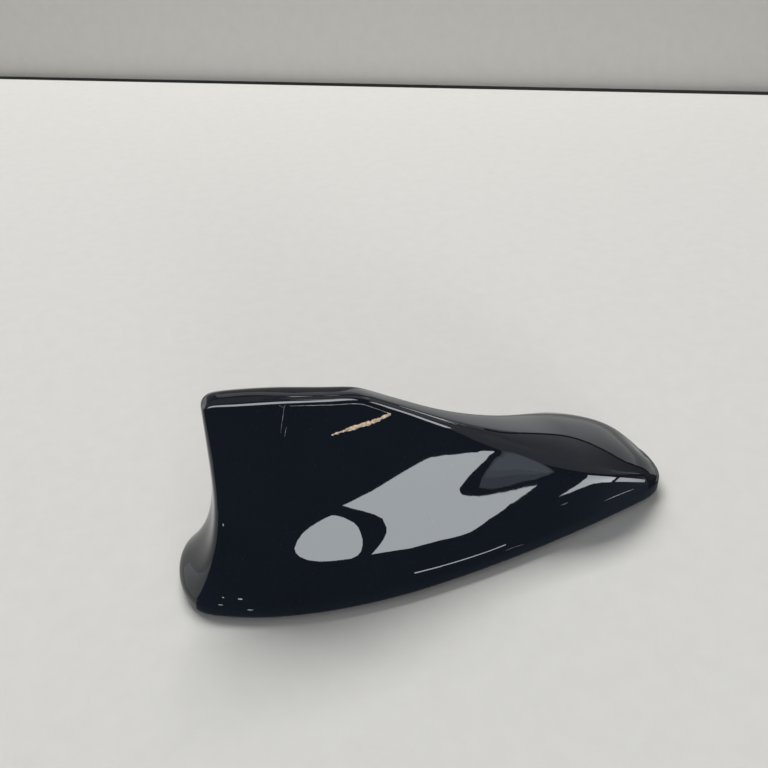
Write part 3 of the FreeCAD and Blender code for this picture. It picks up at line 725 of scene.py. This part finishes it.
def ribbon(name, finish, far, near):
    """Curved strip close over the skin, between two paths of picture points; it glows and only gloss sees it,
    so it paints a reflection onto the skin there.
    """
    count = len(far)
    corners = np.concatenate([over_skin(far), over_skin(near)]) * MM
    faces = [(k, k + 1, count + k + 1, count + k) for k in range(count - 1)]
    made = place(name, corners, faces, finish)
    only_gloss(made)


def beside(outline, behind=0.0):
    """Outline drawn in x and z, stood upright beside the part's right-hand side."""
    return [(x, -BESIDE - behind, z) for x, z in outline]


def seen_beside(spots):
    """The outline in x and z, upright beside the part, that the skin mirrors to picture points."""
    points, ways = mirrored(spots)
    reach = (-BESIDE - points[:, 1]) / ways[:, 1]
    return (points + ways * reach[:, None])[:, [0, 2]].tolist()


def before_wall(outline, gap):
    """Outline drawn along the wall and up it, a gap in front of it."""
    start = (middle - outward * gap * MM) / MM
    return [start + line * t + Vector((0, 0, z)) for t, z in outline]


def lying(outline, lift):
    """Outline drawn in x and y, laid just over the floor."""
    return [(x, y, lift) for x, y in outline]


# Lit panes on the right-hand side
softbox = glow("softbox", 8.9, COOL)
card("pane_wide", softbox, beside(seen_beside([
    (342.5, 505.5), (361.5, 496), (379.5, 486.5), (404.5, 471), (429.5, 457.5), (445.5, 455),
    (461.5, 453.8), (477.5, 452.5), (494.5, 451.1), (485.8, 460.1), (477, 468.3), (468.3, 477),
    (459.5, 488.3), (460.3, 492.5), (462.6, 495.1), (470.8, 496.1), (484.5, 495.8), (498.3, 493),
    (510.8, 490.8), (524.5, 487.4), (537.6, 485.1), (529.5, 491.4), (519.5, 498.3), (509.5, 504.5),
    (489.5, 519), (469.5, 532.5), (439.5, 540.5), (409.5, 548.5), (371.5, 554.5), (378.5, 546.5),
    (383.5, 539.5), (386.5, 532.5), (386.5, 527.5), (382.5, 518.5), (374.5, 514.5), (364.5, 511.5),
    (352.5, 508.5)])))
card("pane_narrow", softbox, beside(seen_beside([
    (294.5, 548.5), (297.5, 540.5), (302.5, 533.5), (309.5, 527.5), (317.5, 522.5), (324.5, 518.5),
    (331.5, 515.5), (337.5, 515.8), (343.5, 517.5), (353.5, 522.5), (358, 527), (360.5, 532.5),
    (362.5, 539.5), (362.5, 545.5), (361, 551.5), (357.5, 555.5), (351.5, 558.5), (344.5, 559.5),
    (331.5, 561), (319.5, 561.5), (307.5, 560), (299.5, 556.5), (296, 553)])))
card("pane_nose", glow("nose_light", 7.4, COOL), beside(seen_beside([
    (558.9, 496.8), (566.5, 491.8), (574.5, 486.8), (579.5, 483.5), (583.9, 480.1), (587.6, 475.1),
    (598.3, 475.8), (609.5, 476.6), (616.4, 477.5), (614, 479.5), (611.4, 481.8), (602, 482.3),
    (593.3, 483.5), (583.3, 487.3), (570.8, 492.6)])))
ribbon("pane_tip", glow("tip_light", 4.6, COOL, (ALONG_PART, 0.058, 0.071, 2.4)),
       [(620.2, 477.4), (625.6, 477.8), (631.6, 478.3), (638.6, 478.9), (645.4, 479.7)],
       [(615.2, 481.7), (621.6, 481.7), (627.6, 481.8), (636.1, 482), (644.4, 482.3)])
card("pane_low", softbox, beside(seen_beside([
    (414, 572.7), (440, 566.2), (470, 557.2), (506, 544.2), (506, 545.1), (470, 558.1), (440, 567.1),
    (415, 573.6)])))
card("strip_fin", softbox, beside([
    (-90, 62), (-56, 58.5), (-45, 58), (-31, 58.5), (-21, 60), (-6, 66), (6, 110), (14, 158), (6, 158),
    (-3, 100), (-22, 78), (-40, 76), (-51, 79), (-90, 92)]))
card("strip_slope", softbox, beside([
    (3, 64), (4.5, 60), (6, 54.5), (16, 54.8), (21.3, 53), (28, 54.6), (56.6, 74.5), (66, 83), (50, 84),
    (20, 76)]))

# Dim pane whose edge fades in three steps towards its middle
DIM_MIDDLE = 29.0
DIM_OUTLINE = seen_beside([
    (480, 486.5), (482.5, 477.5), (488.5, 468.5), (495.5, 458.5), (501.5, 451), (508.5, 451.5),
    (514.5, 452.7), (524.5, 456.5), (533.5, 460), (542, 463.5), (551.5, 469), (554.5, 472), (548.5, 476),
    (534.5, 481), (516.5, 484), (504.5, 486), (491.5, 487.5)])
for step, (share, strength) in enumerate(((1.0, 0.85), (0.92, 1.15), (0.84, 1.4))):
    inner = [(DIM_MIDDLE + (x - DIM_MIDDLE) * share, DIM_MIDDLE + (z - DIM_MIDDLE) * share)
             for x, z in DIM_OUTLINE]
    dim = glow(f"dim_pane_{step + 1}", strength, (0.85, 0.95, 1.1))
    card(f"pane_dim_{step + 1}", dim, beside(inner, 0.6 - 0.1 * step))

# Darker surroundings of the right-hand side and the nose, seen only in gloss: painted dark reflections
card("mid_card", glow("mid_card", 0.50, (0.95, 0.98, 1.0)), beside([
    (26, 46), (34, 38), (44, 36), (62, 32), (110, 22), (300, 18), (700, 30), (700, 700), (300, 400),
    (110, 150), (60, 100), (34, 62)], 0.8))
shade = glow("dark_card", 0.14, (0.7, 0.85, 1.0))
card("dark_card", shade, beside([(-330, 0.2), (300, 0.2), (300, 160), (-330, 160)], 1.0))
# Sheets laid just over the floor: painted shade in the floor's reflection, darkest by the part and lighter
# further out beyond the nose
card("floor_shade_reflection", shade, lying([(-135, -31.9), (220, -31.9), (220, 10), (-80, -12), (-135, -20)], 0.3))
card("nose_floor_shade_reflection", glow("nose_floor_shade_reflection", 0.36, (1.0, 1.0, 0.99), (ALONG_PART, 0.083, 0.45, 0.66)), lying([
    (83, -45), (900, -45), (900, 30), (450, 180), (83, 180)], 0.5))
card("nose_shade", glow("nose_shade", 0.05, WHITE), lying([
    (83, -45), (200, -45), (200, -5), (120, 4), (100, 0), (83, -6)], 0.7))

# Deck: a bright card behind it, and on its near side a dark line and a darker strip, painted reflections made
# by gloss-only ribbons just over the skin
along_wall = middle.dot(line)
back_fade = ((line.x, line.y, -1), along_wall + 0.105, along_wall + 0.20, 0.90)
card("back_card", glow("back_card", 1.5, WARM, back_fade), before_wall([
    (120, 6), (1150, 6), (1000, 150), (895, 215), (815, 305), (650, 310), (530, 270), (455, 225), (420, 215),
    (400, 250), (380, 290), (385, 305), (430, 335), (700, 580), (500, 580), (350, 420), (120, 420)], 10))
LINE_HALF = 0.8
# Picture points of the painted reflected line on the deck, and of the deck's near edge
REFLECTED_DECK_LINE = [
    (484, 428.9), (489, 430.1), (494.3, 431.2), (500, 432.2), (508.6, 433), (522.9, 433.1), (537.1, 433.6),
    (551.4, 434.4), (561.4, 435.4), (568.6, 436.7), (578.6, 439.3), (588.6, 442.9), (598.6, 447.6),
    (608, 452.4), (617, 457.6), (626, 462.4), (636, 466), (641, 467.6), (645, 469.6), (648.5, 472.4),
    (650.5, 475.5)]
DECK_EDGE = [
    (484, 430.6), (489, 432.4), (494, 435), (500, 437.4), (508.6, 440.6), (522.9, 444.6), (537.1, 448),
    (551.4, 454), (561.4, 457), (568.6, 459), (578.6, 462), (588.6, 464), (598.6, 466), (608, 468),
    (617, 471), (626, 472), (636, 473), (641, 473.8), (645, 475.5), (647.5, 478.5), (648.8, 481.5)]
line_far = [(x, y - LINE_HALF) for x, y in REFLECTED_DECK_LINE]
line_near = [(x, y + LINE_HALF) for x, y in REFLECTED_DECK_LINE]
# Painted reflections: a dark reflected line, and a darker reflected strip that gets darker towards the nose
ribbon("deck_line_reflection", glow("deck_line_reflection", 0.04, WHITE), line_far, line_near)
ribbon("deck_near_reflection", glow("deck_near_reflection", 0.55, WHITE, (ALONG_PART, 0.048, 0.074, 0.05)), line_near, DECK_EDGE)
card("back_upper", glow("back_upper", 0.70, WHITE), before_wall([
    (360, 200), (1150, 160), (1150, 1300), (360, 1300)], 8))
card("back_high", glow("back_high", 1.0, WARM), before_wall([
    (-200, 440), (330, 440), (358, 1000), (-200, 1000)], 8))
card("left_card", glow("left_card", 0.95, WARM), [
    (-450, -60, 1), (-450, 760, 1), (-450, 760, 160), (-450, -60, 160)])
